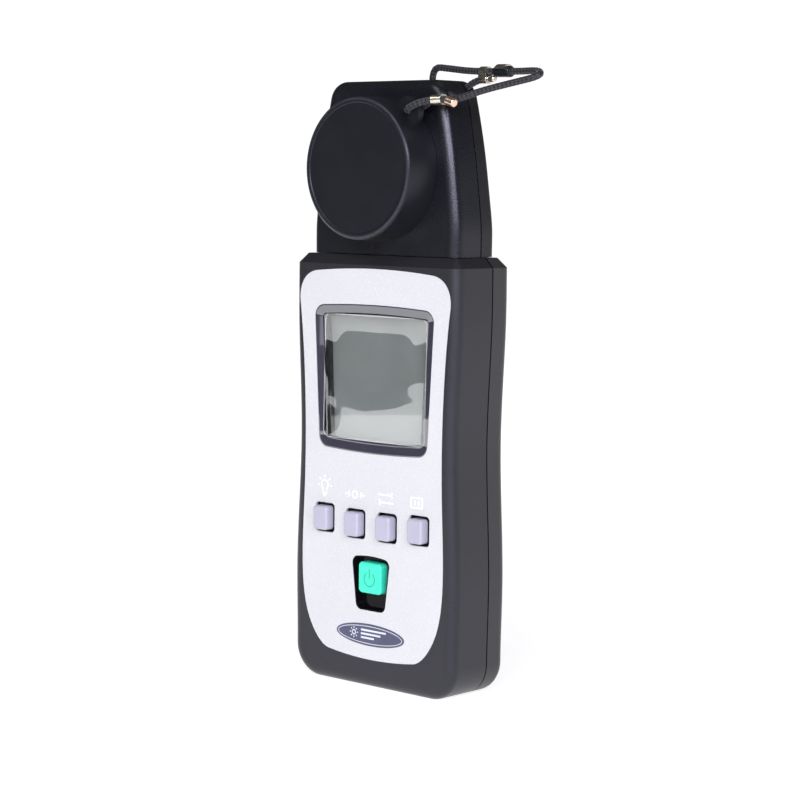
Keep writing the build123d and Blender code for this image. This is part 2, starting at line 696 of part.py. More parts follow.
def end_tip(end, direction, radius, over, beyond):
    """Closed metal tip on a strand that ends at a point: it reaches back over and out beyond it."""
    axis = Vector(direction).normalized()
    with BuildPart() as tip:
        with BuildSketch(Plane(origin=Vector(end) - axis * over, z_dir=axis)):
            Circle(radius)
        extrude(amount=over + beyond)
        fillet(tip.edges().filter_by(GeomType.CIRCLE).sort_by(Axis.X)[-1], 0.45)
        if over > 0:
            with BuildSketch(Plane(origin=Vector(end) - axis * over, z_dir=axis)):
                Circle(CORD_R)
            extrude(amount=over, mode=Mode.SUBTRACT)
    return tip


save(crimp_band((20.534, -9.929, 143.971), BAND_1_DIR, (0.267, -0.962, 0), 2.6), "tether_band_1")
save(end_tip((24.7, -10.2, 143.42), (2.1, 0.062, -0.651), TIP_R, 1.2, 1.2), "tether_tip_1")
save(crimp_band((23.944, 2.776, 150.109), BAND_2_DIR, (0.0263, 0, 0.9997), 2.5), "tether_band_2")
save(end_tip(CORD_ROUTE[-1], BAND_2_DIR, CORD_R, 0, 2.1), "tether_tip_2")

with BuildPart() as tether_sleeve:
    with BuildSketch(Plane(origin=(27.6, 2.34, 150.887), z_dir=BAND_2_DIR)):
        Circle(SLEEVE_R)
    extrude(amount=5.4)
    fillet(tether_sleeve.edges().filter_by(GeomType.CIRCLE), 0.4)
    with BuildSketch(Plane(origin=(27.6, 2.34, 150.887), z_dir=BAND_2_DIR)):
        Circle(CORD_R)
    extrude(amount=5.4, mode=Mode.SUBTRACT)
save(tether_sleeve, "tether_sleeve")

with BuildPart() as tether_collar:
    with BuildSketch(Plane(origin=(28.6, 2.22, 150.86), x_dir=(0.119, 0.9929, 0), z_dir=BAND_2_DIR)):
        Circle(SLEEVE_R + 0.4)
        Circle(SLEEVE_R, mode=Mode.SUBTRACT)
        with Locations((-0.6, -0.9)):
            Rectangle(5.0, 3.0, mode=Mode.SUBTRACT)
    extrude(amount=3.4)
save(tether_collar, "tether_collar")
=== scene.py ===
import math

import bmesh
import bpy
from mathutils import Matrix, Vector


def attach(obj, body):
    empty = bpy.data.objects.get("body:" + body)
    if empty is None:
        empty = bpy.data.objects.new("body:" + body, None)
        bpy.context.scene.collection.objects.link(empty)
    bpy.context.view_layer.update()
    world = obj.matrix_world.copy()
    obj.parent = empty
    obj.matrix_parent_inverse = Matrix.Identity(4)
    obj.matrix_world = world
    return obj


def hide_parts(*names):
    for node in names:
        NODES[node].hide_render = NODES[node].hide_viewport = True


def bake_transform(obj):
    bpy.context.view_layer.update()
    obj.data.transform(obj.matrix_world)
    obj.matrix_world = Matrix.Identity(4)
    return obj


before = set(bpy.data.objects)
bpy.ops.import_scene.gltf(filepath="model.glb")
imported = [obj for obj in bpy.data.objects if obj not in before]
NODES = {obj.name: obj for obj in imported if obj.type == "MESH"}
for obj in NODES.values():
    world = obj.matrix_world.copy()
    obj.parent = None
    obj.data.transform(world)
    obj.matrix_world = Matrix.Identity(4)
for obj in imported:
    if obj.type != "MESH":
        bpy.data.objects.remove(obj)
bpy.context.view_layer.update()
MM = 0.001


# ---------------------------------------------------------------- camera
def add_camera():
    back = Vector((0.67356, -0.73277, 0.09675)).normalized()
    up = Vector((-0.0735, 0.0639, 0.9952))
    right = up.cross(back).normalized()
    up = back.cross(right).normalized()
    data = bpy.data.cameras.new("camera")
    data.lens = 103.84
    data.sensor_width = 36.0
    data.clip_start = 0.01
    data.clip_end = 20.0
    cam = bpy.data.objects.new("camera", data)
    cam.matrix_world = Matrix((
        (right.x, up.x, back.x, 0.384386),
        (right.y, up.y, back.y, -0.418105),
        (right.z, up.z, back.z, 0.126106),
        (0, 0, 0, 1)))
    bpy.context.collection.objects.link(cam)
    bpy.context.scene.camera = cam


add_camera()


# ---------------------------------------------------------------- node helpers
class Mat:
    """Small builder for one procedural material in object coordinates (metres)."""

    def __init__(self, name, rough=0.5, metal=0.0, **sockets):
        self.mat = bpy.data.materials.new(name)
        self.mat.use_nodes = True
        self.tree = self.mat.node_tree
        self.bsdf = self.tree.nodes["Principled BSDF"]
        self.bsdf.inputs["Roughness"].default_value = rough
        self.bsdf.inputs["Metallic"].default_value = metal
        for key, value in sockets.items():
            self.bsdf.inputs[key.replace("_", " ")].default_value = value
        self.coord = self.node("ShaderNodeTexCoord")
        self.obj = self.coord.outputs["Object"]

    def node(self, kind, **props):
        n = self.tree.nodes.new(kind)
        for key, value in props.items():
            setattr(n, key, value)
        return n

    def link(self, out, inp):
        self.tree.links.new(out, inp)

    def put(self, inp, value):
        """Links a socket, or sets a plain value."""
        if isinstance(value, bpy.types.NodeSocket):
            self.link(value, inp)
        else:
            inp.default_value = value

    def math(self, op, a, b=0.0, clamp=False):
        n = self.node("ShaderNodeMath", operation=op, use_clamp=clamp)
        self.put(n.inputs[0], a)
        self.put(n.inputs[1], b)
        return n.outputs[0]

    def noise(self, scale, detail=3.0, rough=0.5, vector=None, distort=0.0):
        n = self.node("ShaderNodeTexNoise")
        n.inputs["Scale"].default_value = scale
        n.inputs["Detail"].default_value = detail
        n.inputs["Roughness"].default_value = rough
        n.inputs["Distortion"].default_value = distort
        self.link(vector or self.obj, n.inputs["Vector"])
        return n.outputs["Fac"]

    def cells(self, scale, feature="F1", out="Distance"):
        n = self.node("ShaderNodeTexVoronoi", feature=feature)
        n.inputs["Scale"].default_value = scale
        self.link(self.obj, n.inputs["Vector"])
        return n.outputs[out]

    def xyz(self, vector=None):
        n = self.node("ShaderNodeSeparateXYZ")
        self.link(vector or self.obj, n.inputs[0])
        return n.outputs

    def scaled(self, scale):
        n = self.node("ShaderNodeMapping")
        n.inputs["Scale"].default_value = scale
        self.link(self.obj, n.inputs["Vector"])
        return n.outputs[0]

    def ramp(self, fac, *stops):
        n = self.node("ShaderNodeValToRGB")
        band = n.color_ramp
        while len(band.elements) < len(stops):
            band.elements.new(0.5)
        for item, (pos, col) in zip(band.elements, stops):
            item.position = pos
            item.color = col if len(col) == 4 else (*col, 1.0)
        self.link(fac, n.inputs[0])
        return n.outputs[0]

    def span(self, value, low, high, to_low=0.0, to_high=1.0, smooth=True):
        n = self.node("ShaderNodeMapRange", clamp=True,
                      interpolation_type="SMOOTHSTEP" if smooth else "LINEAR")
        self.put(n.inputs["Value"], value)
        for key, v in zip(("From Min", "From Max", "To Min", "To Max"), (low, high, to_low, to_high)):
            n.inputs[key].default_value = v
        return n.outputs[0]

    def mix(self, fac, a, b, mode="MIX"):
        n = self.node("ShaderNodeMix", data_type="RGBA", blend_type=mode)
        self.put(n.inputs[0], fac)
        for slot, value in ((6, a), (7, b)):
            if isinstance(value, tuple) and len(value) == 3:
                value = (*value, 1.0)
            self.put(n.inputs[slot], value)
        return n.outputs[2]

    def color(self, value):
        if isinstance(value, tuple):
            value = (*value, 1.0)
        self.put(self.bsdf.inputs["Base Color"], value)

    def rough(self, value):
        self.put(self.bsdf.inputs["Roughness"], value)

    def bump(self, *layers):
        """Layers of (height, strength, distance in metres), stacked."""
        normal = None
        for height, strength, distance in layers:
            n = self.node("ShaderNodeBump")
            n.inputs["Strength"].default_value = strength
            n.inputs["Distance"].default_value = distance
            self.link(height, n.inputs["Height"])
            if normal:
                self.link(normal, n.inputs["Normal"])
            normal = n.outputs[0]
        self.link(normal, self.bsdf.inputs["Normal"])

    def past(self, value, start):
        """How far a value is past a start, 0 before it."""
        return self.math("MAXIMUM", self.math("SUBTRACT", value, start), 0.0)

    def hypot(self, a, b):
        return self.math("SQRT", self.math("ADD", self.math("POWER", a, 2.0), self.math("POWER", b, 2.0)))

    def socket(self, name):
        """What is linked to a socket of the shader."""
        return self.bsdf.inputs[name].links[0].from_socket

    def line(self, value, at, half, soft):
        """1 within a thin band of a coordinate about a value, 0 elsewhere."""
        gap = self.math("ABSOLUTE", self.math("SUBTRACT", value, at))
        return self.span(gap, half, half + soft, 1.0, 0.0)


def dress(mat, *names):
    """Gives CAD nodes or new pieces a material in every slot."""
    for name in names:
        o = NODES[name] if isinstance(name, str) else name
        if not o.data.materials:
            o.data.materials.append(mat.mat)
        for slot in o.material_slots:
            slot.material = mat.mat


def textured_black(name, base, tint, seam_y, rough=0.34):
    """Spark-textured black moulding, with the dark parting line between its two shells."""
    m = Mat(name, rough=rough, Specular_IOR_Level=0.5, Specular_Tint=(0.88, 0.88, 1.0, 1.0))
    grain = m.noise(5200.0, 2.0, 0.6)
    fine = m.cells(3400.0)
    cloud = m.noise(55.0, 4.0, 0.55)
    rub = m.noise(240.0, 5.0, 0.65, vector=m.scaled((1.0, 1.0, 0.35)))
    col = m.ramp(cloud, (0.3, base), (0.72, tint))
    col = m.mix(m.span(grain, 0.35, 0.7, 0.0, 0.35), col, tuple(c * 1.7 for c in tint))
    seam = m.line(m.xyz()[1], seam_y, 0.00016, 0.00008)
    col = m.mix(seam, col, (0.001, 0.001, 0.001))
    m.color(col)
    m.put(m.bsdf.inputs["Specular IOR Level"], m.span(seam, 0.0, 1.0, 0.5, 0.02))
    wear = m.math("ADD", m.span(cloud, 0.3, 0.7, -0.02, 0.03), m.span(rub, 0.55, 0.72, 0.0, 0.05))
    m.rough(m.math("ADD", m.span(grain, 0.3, 0.7, rough - 0.04, rough + 0.06), wear))
    groove = m.math("SUBTRACT", 1.0, seam)
    m.bump((grain, 0.22, 0.00005), (fine, 0.15, 0.00004), (groove, 0.9, 0.00012))
    return m


# ---------------------------------------------------------------- materials
CASE_SEAM_Y = 0.003
HEAD_SEAM_Y = 0.002
dress(textured_black("case_black", (0.0135, 0.0138, 0.0155), (0.0175, 0.0178, 0.0200), CASE_SEAM_Y, 0.32),
      "front_case")
# Painted light: the rear shell gets a paler black than the front shell, standing in for the light on the
# case's side
dress(textured_black("case_rear_black", (0.024, 0.024, 0.0235), (0.030, 0.030, 0.029), CASE_SEAM_Y, 0.38),
      "rear_case", "battery_door")
dress(textured_black("head_black", (0.0060, 0.0064, 0.0085), (0.0080, 0.0086, 0.0112), HEAD_SEAM_Y, 0.27),
      "head_front")
dress(textured_black("head_rear_black", (0.0070, 0.0070, 0.0078), (0.0100, 0.0100, 0.0108),
                     HEAD_SEAM_Y, 0.34), "head_rear")


def plate_material():
    m = Mat("plate_silver", rough=0.42, metal=0.0, Coat_Weight=0.15, Coat_Roughness=0.25)
    flake = m.cells(5200.0, out="Color")
    grain = m.noise(2600.0, 2.0)
    cloud = m.noise(38.0, 3.0)
    col = m.ramp(cloud, (0.3, (0.628, 0.628, 0.626)), (0.75, (0.658, 0.658, 0.655)))
    sparkle = m.span(m.xyz(flake)[0], 0.86, 1.0, 0.0, 0.35)
    col = m.mix(sparkle, col, (0.95, 0.95, 0.98))
    col = m.mix(m.span(grain, 0.35, 0.65, 0.0, 0.12), col, (0.52, 0.52, 0.545))
    m.color(col)
    m.rough(m.span(grain, 0.3, 0.7, 0.36, 0.5))
    m.bump((grain, 0.12, 0.00003))
    return m


dress(plate_material(), "faceplate")


WINDOW_Z = 0.0766
DISH_FLOOR_Y = -0.0091
BORDER_ROUND = 0.0018
DISH_ROUND = 0.0040
DISH_EASE = 0.000632


def lens_material():
    """Hard-coated clear window with a dark violet border printed on it."""
    m = Mat("clear_lens", rough=0.02, IOR=1.49, Coat_Weight=1.0, Coat_IOR=2.3, Coat_Roughness=0.015)
    x, y, z = m.xyz()
    haze = m.noise(120.0, 3.0)
    half_x = m.math("ABSOLUTE", x)
    half_z = m.math("ABSOLUTE", m.math("SUBTRACT", z, WINDOW_Z))
    # Signed distance to the rounded border of the clear area
    gap = m.math("SUBTRACT", m.hypot(m.past(half_x, 0.0152), m.past(half_z, 0.0136)), BORDER_ROUND)
    ink = m.span(gap, 0.0, 0.00012)
    clear = m.mix(m.span(haze, 0.3, 0.7), (0.93, 0.95, 0.95), (0.97, 0.98, 0.98))
    border = m.mix(m.noise(300.0, 2.0), (0.036, 0.034, 0.052), (0.056, 0.053, 0.076))
    # Painted highlight: a pale opaque line runs along the inner boundary of the print
    edge_highlight = m.math("MULTIPLY", m.line(gap, -0.00006, 0.00005, 0.00007), 0.55)
    m.color(m.mix(edge_highlight, m.mix(ink, clear, border), (0.80, 0.81, 0.79)))
    m.put(m.bsdf.inputs["Transmission Weight"], m.math("SUBTRACT", 1.0, m.math("MAXIMUM", ink, edge_highlight)))
    m.rough(m.span(haze, 0.35, 0.75, 0.01, 0.03))
    # The floor of the dish curves up towards its top and sides, with a little flow waviness; in metres
    face = m.line(y, DISH_FLOOR_Y, 0.0001, 0.0001)
    turn = m.past(m.hypot(m.past(half_x, 0.0085), m.past(z, 0.0838)), DISH_ROUND)
    rise = m.math("MULTIPLY", m.math("SUBTRACT", m.hypot(turn, DISH_EASE), DISH_EASE), 0.16)
    wave = m.math("MULTIPLY", face, m.noise(70.0, 0.0))
    m.bump((m.math("MULTIPLY", face, rise), 1.0, 1.0), (wave, 0.45, 0.0006))
    m.link(m.socket("Normal"), m.bsdf.inputs["Coat Normal"])
    return m


def lcd_material():
    """Grey-green display glass with painted light that makes it a little paler towards its foot, and a few
    specks of dust.
    """
    m = Mat("lcd_grey", rough=0.42, Specular_IOR_Level=0.2)
    cloud = m.noise(60.0, 3.0)
    x, _, z = m.xyz()
    flat = m.node("ShaderNodeCombineXYZ")
    m.link(x, flat.inputs[0])
    m.link(z, flat.inputs[1])
    spots = m.node("ShaderNodeTexVoronoi", voronoi_dimensions="2D")
    spots.inputs["Scale"].default_value = 290.0
    m.link(flat.outputs[0], spots.inputs["Vector"])
    base = m.ramp(cloud, (0.25, (0.49, 0.535, 0.50)), (0.8, (0.57, 0.595, 0.56)))
    speck = m.span(spots.outputs["Distance"], 0.045, 0.08, 0.9, 0.0)
    rare = m.span(m.xyz(spots.outputs["Color"])[0], 0.60, 0.64)
    # Painted light: the glass is made up to a tenth paler towards its foot
    base = m.mix(1.0, base, m.span(z, 0.0625, 0.0760, 1.10, 1.0), "MULTIPLY")
    m.color(m.mix(m.math("MULTIPLY", speck, rare), base, (0.75, 0.76, 0.74)))
    m.bump((m.noise(3000.0), 0.04, 0.00001))
    return m


def plastic(name, base, tint, rough, scale=2400.0, depth=0.00003, strength=0.25, painted_shade_y=None, **sockets):
    """Plain moulded plastic or rubber with fine grain and slight colour variation.
    Behind a given depth, painted shade turns a key from its cap colour to near-black in the gap round it."""
    m = Mat(name, rough=rough, **sockets)
    grain = m.noise(scale, 2.0, 0.6)
    cloud = m.noise(140.0, 3.0)
    col = m.mix(m.span(grain, 0.4, 0.8, 0.0, 0.3), m.ramp(cloud, (0.3, base), (0.7, tint)),
                tuple(min(1.0, c * 1.12) for c in tint))
    # Painted shade in the gap round a key: near-black behind the given depth
    if painted_shade_y is not None:
        col = m.mix(m.span(m.xyz()[1], painted_shade_y - 0.0001, painted_shade_y + 0.0001), col, (0.006, 0.006, 0.008))
    m.color(col)
    m.rough(m.span(grain, 0.3, 0.7, max(0.02, rough - 0.05), rough + 0.06))
    m.bump((grain, strength, depth))
    return m


def metal(name, base, tint, rough):
    m = Mat(name, rough=rough, metal=1.0)
    streak = m.noise(2600.0, 3.0, vector=m.scaled((0.12, 1.0, 1.0)))
    wear = m.noise(700.0, 4.0)
    m.color(m.ramp(wear, (0.35, base), (0.65, tint)))
    m.rough(m.span(streak, 0.3, 0.7, rough - 0.06, rough + 0.12))
    m.bump((streak, 0.12, 0.00001), (wear, 0.12, 0.00003))
    return m


dress(lens_material(), "lcd_lens")
dress(lcd_material(), "lcd_glass")
dress(plastic("window_black", (0.010, 0.010, 0.012), (0.014, 0.014, 0.016), 0.5), "lcd_frame")
dress(plastic("white_plastic", (0.80, 0.80, 0.77), (0.86, 0.86, 0.83), 0.5), "backlight", "diffuser")
dress(plastic("key_lilac", (0.432, 0.423, 0.508), (0.460, 0.451, 0.540), 0.36, strength=0.1, painted_shade_y=-0.0094),
      "key_light", "key_zero", "key_unit", "key_hold")
dress(plastic("power_green", (0.044, 0.76, 0.49), (0.052, 0.82, 0.54), 0.30, strength=0.06), "power_button")
dress(plastic("dish_black", (0.003, 0.003, 0.004), (0.005, 0.005, 0.006), 0.08, strength=0.02,
              Specular_IOR_Level=0.14), "power_bezel")
dress(plastic("badge_blue", (0.062, 0.066, 0.118), (0.080, 0.084, 0.145), 0.32), "badge")
dress(plastic("silicone", (0.45, 0.45, 0.47), (0.5, 0.5, 0.52), 0.6), "keypad_mat")
dress(plastic("board_green", (0.02, 0.16, 0.07), (0.03, 0.2, 0.09), 0.35), "main_board", "sensor_board")
dress(plastic("cell_wrap", (0.12, 0.13, 0.15), (0.16, 0.17, 0.2), 0.3), "battery_cells")
dress(plastic("die_black", (0.02, 0.02, 0.03), (0.03, 0.03, 0.04), 0.2), "photodiode")
dress(plastic("filter_blue", (0.10, 0.22, 0.42), (0.13, 0.27, 0.48), 0.1), "colour_filter")
dress(metal("steel", (0.55, 0.54, 0.53), (0.66, 0.65, 0.63), 0.3), "case_screws", "head_screws", "door_screw",
      "battery_contacts", "neck_tube", "neck_ring")


CAP_AXIS_Z = 0.1278
CAP_RIM_R = 0.0166


def cap_material():
    """Matt black cap whose rim is rubbed smoother and given a painted highlight that makes it paler."""
    m = plastic("cap_black", (0.0080, 0.0088, 0.0112), (0.0105, 0.0115, 0.0145), 0.36, scale=4200.0,
                depth=0.00005, strength=0.3, Specular_IOR_Level=0.34, Specular_Tint=(0.9, 0.9, 1.0, 1.0))
    x, y, z = m.xyz()
    radius = m.hypot(x, m.math("SUBTRACT", z, CAP_AXIS_Z))
    rim = m.math("MULTIPLY", m.line(radius, CAP_RIM_R, 0.00015, 0.0003),
                 m.span(y, -0.0158, -0.0150, 1.0, 0.0))
    rub_and_rim_highlight = m.math("MULTIPLY", rim, m.span(m.noise(420.0, 3.0), 0.2, 0.6, 0.55, 1.0))
    # Painted highlight: the rim's colour is mixed to a paler lilac grey
    m.color(m.mix(rub_and_rim_highlight, m.socket("Base Color"), (0.036, 0.036, 0.046)))
    m.rough(m.math("SUBTRACT", m.socket("Roughness"), m.math("MULTIPLY", rub_and_rim_highlight, 0.16)))
    return m


dress(cap_material(), "sensor_cap", "tether_sleeve")
dress(metal("crimp_nickel", (0.78, 0.70, 0.56), (0.86, 0.82, 0.74), 0.22), "tether_band_1", "tether_band_2",
      "tether_tip_2", "tether_collar")
dress(metal("crimp_copper", (0.80, 0.52, 0.38), (0.88, 0.70, 0.55), 0.25), "tether_tip_1")


# ---------------------------------------------------------------- tether
CORD_R = 0.85 * MM
LOOP_ROUTE = ((24.7, -10.2, 143.42), (22.6, -10.262, 144.071), (18.367, -11.437, 143.838),
              (16.0, -12.7, 143.1), (12.5, -13.0, 141.5), (12.5, -8.8, 141.5), (16.0, -9.1, 143.1),
              (17.9, -9.753, 143.838), (22.0, -8.615, 144.064))
CORD_ROUTE = ((25.0, -7.782, 144.229), (30.5, -6.0, 146.1), (38.2, -3.7, 147.9), (44.8, -2.2, 149.3),
              (42.4, 0.8, 150.8), (34.6, 1.5, 150.7), (19.6, 3.3, 151.1), (11.6, 3.9, 152.0),
              (6.0, 4.0, 152.6), (6.0, 4.0, 145.4), (14.6, 4.0, 145.5), (20.894, 3.139, 149.315),
              (25.36, 2.603, 149.196))


def spline_points(route):
    """Points along the NURBS spline whose control points are the route, without repeats."""
    curve = bpy.data.curves.new("route", "CURVE")
    curve.dimensions = "3D"
    spline = curve.splines.new("NURBS")
    spline.points.add(len(route) - 1)
    for point, place in zip(spline.points, route):
        point.co = (*(v * MM for v in place), 1.0)
    spline.order_u = 3
    spline.use_endpoint_u = True
    spline.resolution_u = 16
    holder = bpy.data.objects.new("route", curve)
    bpy.context.collection.objects.link(holder)
    mesh = bpy.data.meshes.new_from_object(holder)
    points = [v.co.copy() for v in mesh.vertices]
    points = points[:1] + [b for a, b in zip(points, points[1:]) if (b - a).length > 1e-6]
    bpy.data.objects.remove(holder)
    return points


def braided_tube(name, path, radius, around=40, step=0.00011, strands=8, pitch=0.0042):
    """Tube round a path whose surface carries the over-and-under lobes of a round braid."""
    dist = [0.0]
    for a, b in zip(path, path[1:]):
        dist.append(dist[-1] + (b - a).length)
    total = dist[-1]
    rings = int(total / step)
    mesh = bpy.data.meshes.new(name)
    verts, faces, uvs = [], [], []
    side = Vector((0.0, 0.3, 1.0))
    j = 0
    for i in range(rings + 1):
        s = total * i / rings
        while j < len(dist) - 2 and dist[j + 1] < s:
            j += 1
        seg = path[j + 1] - path[j]
        t = (s - dist[j]) / max(seg.length, 1e-9)
        centre = path[j].lerp(path[j + 1], t)
        ahead = path[min(j + 2, len(path) - 1)] - path[j + 1] if j + 2 < len(path) else seg
        tangent = seg.normalized().lerp(ahead.normalized(), t).normalized()
        side = (side - tangent * side.dot(tangent)).normalized()
        other = tangent.cross(side)
        for k in range(around):
            ang = 2 * math.pi * k / around
            a = math.sin(strands / 2 * ang + 2 * math.pi * s / pitch * strands / 4)
            b = math.sin(strands / 2 * ang - 2 * math.pi * s / pitch * strands / 4)
            lobe = a * b
            r = radius * (0.965 + 0.05 * lobe)
            verts.append(centre + (side * math.cos(ang) + other * math.sin(ang)) * r)
    for i in range(rings):
        for k in range(around):
            n = (k + 1) % around
            faces.append((i * around + k, i * around + n, (i + 1) * around + n, (i + 1) * around + k))
    mesh.from_pydata([tuple(v) for v in verts], [], faces)
    bm = bmesh.new()
    bm.from_mesh(mesh)
    bm.verts.ensure_lookup_table()
    first = [bm.verts[k] for k in range(around)]
    last = [bm.verts[rings * around + k] for k in range(around)]
    bm.faces.new(list(reversed(first)))
    bm.faces.new(last)
    uv = bm.loops.layers.uv.new("UVMap")
    for f in bm.faces:
        ring = [loop.vert.index for loop in f.loops]
        wrap = any(v % around == 0 for v in ring) and any(v % around == around - 1 for v in ring)
        for loop in f.loops:
            idx = loop.vert.index
            k = idx % around
            u = 1.0 if (wrap and k == 0) else k / around
            loop[uv].uv = (u, (idx // around) / rings * total / pitch)
    bm.to_mesh(mesh)
    bm.free()
    mesh.shade_smooth()
    o = bpy.data.objects.new(name, mesh)
    bpy.context.collection.objects.link(o)
    return o


def braid_material(strands=8):
    m = Mat("braid_black", rough=0.62, Sheen_Weight=0.25, Sheen_Roughness=0.4)
    uv = m.coord.outputs["UV"]
    u, v, _ = m.xyz(uv)
    turn = m.math("MULTIPLY", u, 2 * math.pi * strands / 2)
    climb = m.math("MULTIPLY", v, 2 * math.pi * strands / 4)
    one = m.math("SINE", m.math("ADD", turn, climb))
    two = m.math("SINE", m.math("SUBTRACT", turn, climb))
    lobe = m.math("MULTIPLY", one, two)
    yarn = m.noise(9000.0, 2.0, 0.7)
    # Painted shade: the braid is darker between its lobes and paler on their crowns
    painted_shade = m.span(lobe, -0.4, 0.6, 0.0, 1.0)
    col = m.mix(painted_shade, (0.004, 0.004, 0.005), (0.030, 0.029, 0.036))
    m.color(m.mix(m.span(yarn, 0.5, 0.8, 0.0, 0.5), col, (0.055, 0.053, 0.062)))
    m.rough(m.span(yarn, 0.3, 0.7, 0.5, 0.75))
    m.bump((lobe, 0.6, 0.00008), (yarn, 0.4, 0.00004))
    return m


tether_path = spline_points(LOOP_ROUTE + CORD_ROUTE)
tether = braided_tube("tether_braid", tether_path, CORD_R)
dress(braid_material(), tether)
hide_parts("tether_loop", "tether_cord")
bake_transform(tether)


# ---------------------------------------------------------------- printed marks
def flat_piece(name, loops, y, thickness, body, mat):
    """Thin closed prints in front view: each loop is a list of (x, z) in millimetres."""
    bm = bmesh.new()
    for loop in loops:
        ring = [bm.verts.new((x * MM, y * MM, z * MM)) for x, z in loop]
        face = bm.faces.new(ring)
        out = bmesh.ops.extrude_face_region(bm, geom=[face])
        for v in (e for e in out["geom"] if isinstance(e, bmesh.types.BMVert)):
            v.co.y -= thickness * MM
    bmesh.ops.recalc_face_normals(bm, faces=bm.faces)
    mesh = bpy.data.meshes.new(name)
    bm.to_mesh(mesh)
    bm.free()
    o = bpy.data.objects.new(name, mesh)
    bpy.context.collection.objects.link(o)
    dress(mat, o)
    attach(o, body)
    return o


def stroke(points, width, closed=False):
    """Quads along a polyline of (x, z) points, mitred."""
    pts = [Vector(p) for p in points]
    n = len(pts)
    left, right = [], []
    for i, p in enumerate(pts):
        a = pts[i - 1] if i > 0 or closed else None
        b = pts[(i + 1) % n] if i < n - 1 or closed else None
        da = (p - a).normalized() if a is not None else (b - p).normalized()
        db = (b - p).normalized() if b is not None else da
        na, nb = Vector((-da.y, da.x)), Vector((-db.y, db.x))
        mid = (na + nb).normalized()
        scale = width / 2 / max(0.3, mid.dot(na))
        left.append(p + mid * scale)
        right.append(p - mid * scale)
    count = n if closed else n - 1
    return [[tuple(left[i]), tuple(left[(i + 1) % n]), tuple(right[(i + 1) % n]), tuple(right[i])]
            for i in range(count)]


def arc(cx, cz, r, start, stop, n=24):
    return [(cx + r * math.cos(math.radians(start + (stop - start) * i / n)),
             cz + r * math.sin(math.radians(start + (stop - start) * i / n))) for i in range(n + 1)]


PLATE_Y = -9.9
white = plastic("print_white", (0.93, 0.93, 0.95), (0.97, 0.97, 0.98), 0.5, strength=0.1)
W = 0.34


def arrow(x0, x1, z, head=0.7):
    """Straight arrow from x0 to x1, its head made of two separate strokes."""
    back = head if x1 < x0 else -head
    return (stroke([(x0, z), (x1, z)], W) + stroke([(x1, z), (x1 + back, z + head)], W)
            + stroke([(x1, z), (x1 + back, z - head)], W))


bulb = stroke(arc(-16.0, 49.2, 1.15, -60, 240), W)
bulb += stroke([(-15.43, 48.2), (-15.43, 47.0), (-16.57, 47.0), (-16.57, 48.2)], W)
bulb += stroke([(-16.45, 46.5), (-15.55, 46.5)], W)
for ang in (-5, 40, 90, 140, 185):
    c, s = math.cos(math.radians(ang)), math.sin(math.radians(ang))
    bulb += stroke([(-16.0 + 1.8 * c, 49.2 + 1.8 * s), (-16.0 + 2.45 * c, 49.2 + 2.45 * s)], W)
zero = stroke(arc(-5.6, 47.7, 0.85, 0, 345), W, closed=True)
zero += arrow(-9.0, -7.1, 47.7) + arrow(-2.2, -4.1, 47.7)
swap = arrow(2.2, 7.4, 48.6) + arrow(7.4, 2.2, 46.7)
hold = stroke([(13.2, 46.5), (13.2, 48.9), (16.8, 48.9), (16.8, 46.5)], W, closed=True)
hold += stroke([(14.4, 47.1), (14.4, 48.3)], 0.5) + stroke([(15.6, 47.1), (15.6, 48.3)], 0.5)
flat_piece("print_keys", bulb + zero + swap + hold, PLATE_Y, 0.02, "case", white)

# Power symbol, a shade darker than its key
mark = plastic("power_mark", (0.012, 0.42, 0.21), (0.016, 0.46, 0.24), 0.4)
power = stroke(arc(0.0, 27.2, 1.75, 125, 415, 30), 0.3) + stroke([(0.0, 27.4), (0.0, 29.8)], 0.3)
flat_piece("print_power", power, -10.4, 0.03, "power_button", mark)

# Badge: plain rim line, a small sun of rays and three bars
badge_mark = plastic("badge_mark", (0.62, 0.63, 0.70), (0.70, 0.71, 0.78), 0.35)
turns = [2 * math.pi * i / 64 for i in range(64)]
ring = [(10.7 * math.cos(t), 13.25 + 2.15 * math.sin(t)) for t in turns]
rays = stroke(arc(-5.4, 13.4, 0.55, 0, 330, 14), 0.28, closed=True)
for i in range(8):
    c, s = math.cos(i * math.pi / 4), math.sin(i * math.pi / 4)
    rays += stroke([(-5.4 + 0.95 * c, 13.4 + 0.95 * s), (-5.4 + 1.4 * c, 13.4 + 1.4 * s)], 0.26)
for i, reach in enumerate((8.4, 6.6, 4.4)):
    rays += stroke([(-3.0, 14.35 - 0.95 * i), (-3.0 + reach, 14.35 - 0.95 * i)], 0.48)
flat_piece("print_badge", stroke(ring, 0.16, closed=True) + rays, -10.02, 0.02, "case", badge_mark)


# ---------------------------------------------------------------- stage
def stage_mesh(name, verts, faces, mat):
    mesh = bpy.data.meshes.new(name)
    mesh.from_pydata(verts, [], faces)
    o = bpy.data.objects.new(name, mesh)
    bpy.context.collection.objects.link(o)
    dress(mat, o)
    return o


floor_mat = Mat("floor_white", rough=0.9)
floor_mat.color(floor_mat.ramp(floor_mat.noise(6.0), (0.3, (0.44, 0.44, 0.44)), (0.7, (0.46, 0.46, 0.46))))
glow = floor_mat.node("ShaderNodeVectorMath", operation="LENGTH")
floor_mat.link(floor_mat.obj, glow.inputs[0])
floor_mat.bsdf.inputs["Emission Color"].default_value = (1.0, 1.0, 1.0, 1.0)
floor_mat.put(floor_mat.bsdf.inputs["Emission Strength"],
              floor_mat.span(glow.outputs["Value"], 0.05, 0.5, 0.84, 1.0))
TABLE_R = 1.0
TABLE_CUT = 0.66
TABLE_POINTS = 120


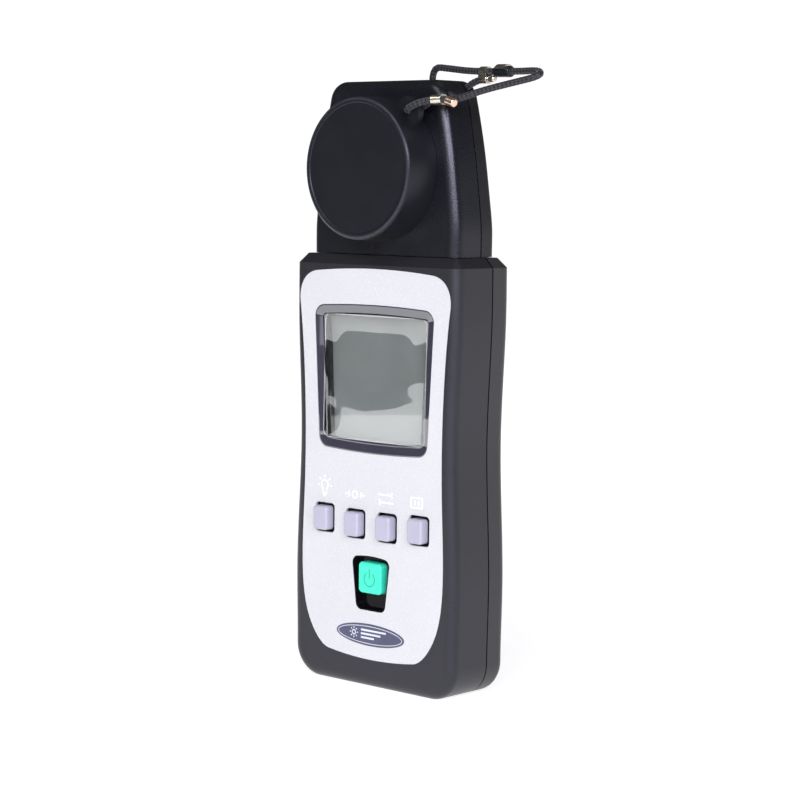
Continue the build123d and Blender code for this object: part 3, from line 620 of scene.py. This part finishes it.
def table_outline():
    """Round table with its front left side cut straight."""
    points = []
    for i in range(TABLE_POINTS):
        ang = 2 * math.pi * i / TABLE_POINTS
        facing = -0.677 * math.cos(ang) - 0.736 * math.sin(ang)
        reach = min(TABLE_R, TABLE_CUT / max(facing, 0.1))
        points.append((reach * math.cos(ang), reach * math.sin(ang), 0.0))
    return points


stage_mesh("floor", table_outline(), [tuple(range(TABLE_POINTS))], floor_mat)


def area(name, place, aim, size, radiance, color=(1, 1, 1)):
    data = bpy.data.lights.new(name, "AREA")
    data.shape = "RECTANGLE"
    data.size, data.size_y = size
    data.energy = radiance * math.pi * size[0] * size[1]
    data.color = color
    lamp = bpy.data.objects.new(name, data)
    lamp.location = place
    lamp.rotation_euler = (Vector(aim) - Vector(place)).to_track_quat("-Z", "Y").to_euler()
    bpy.context.collection.objects.link(lamp)
    return lamp


AIM = (0.0, 0.0, 0.08)
area("soft_front", (-0.10, -0.95, 0.95), AIM, (0.70, 0.50), 2.9, (1.0, 1.0, 0.98))
area("soft_right", (0.50, -1.18, 0.56), AIM, (0.80, 0.40), 7.0, (0.88, 0.88, 1.0))
area("strip_right", (1.02, -0.80, 0.56), AIM, (1.00, 0.40), 12.0, (0.86, 0.86, 1.0))
area("front_card", (0.10, -1.25, 0.12), AIM, (0.9, 0.2), 0.8, (0.9, 0.9, 1.0))
area("overhead", (0.0, 0.15, 1.1), AIM, (0.6, 0.6), 0.25)


def studio_world():
    """White backdrop behind the object, low down; dim studio in front and above."""
    world = bpy.data.worlds.new("studio")
    world.use_nodes = True
    tree = world.node_tree

    def span(value, low, high, to_low, to_high):
        n = tree.nodes.new("ShaderNodeMapRange")
        n.interpolation_type = "SMOOTHSTEP"
        for key, v in zip(("From Min", "From Max", "To Min", "To Max"), (low, high, to_low, to_high)):
            n.inputs[key].default_value = v
        tree.links.new(value, n.inputs["Value"])
        return n.outputs[0]

    around = tree.nodes.new("ShaderNodeTexCoord")
    split = tree.nodes.new("ShaderNodeSeparateXYZ")
    tree.links.new(around.outputs["Generated"], split.inputs[0])
    drape = tree.nodes.new("ShaderNodeMath")
    drape.operation = "MULTIPLY"
    tree.links.new(span(split.outputs[1], -0.05, 0.40, 0.0, 0.75), drape.inputs[0])
    tree.links.new(span(split.outputs[2], -0.02, 0.22, 1.0, 0.0), drape.inputs[1])
    lift = tree.nodes.new("ShaderNodeMath")
    lift.inputs[1].default_value = 0.06
    tree.links.new(drape.outputs[0], lift.inputs[0])
    # Seen directly, the backdrop is plain white
    path = tree.nodes.new("ShaderNodeLightPath")
    seen = tree.nodes.new("ShaderNodeMix")
    seen.data_type = "FLOAT"
    tree.links.new(path.outputs["Is Camera Ray"], seen.inputs[0])
    tree.links.new(lift.outputs[0], seen.inputs[2])
    seen.inputs[3].default_value = 1.05
    ground = tree.nodes["Background"]
    ground.inputs["Color"].default_value = (1.0, 1.0, 1.0, 1.0)
    tree.links.new(seen.outputs[0], ground.inputs["Strength"])
    return world


bpy.context.scene.world = studio_world()
bpy.context.scene.view_settings.view_transform = "Standard"
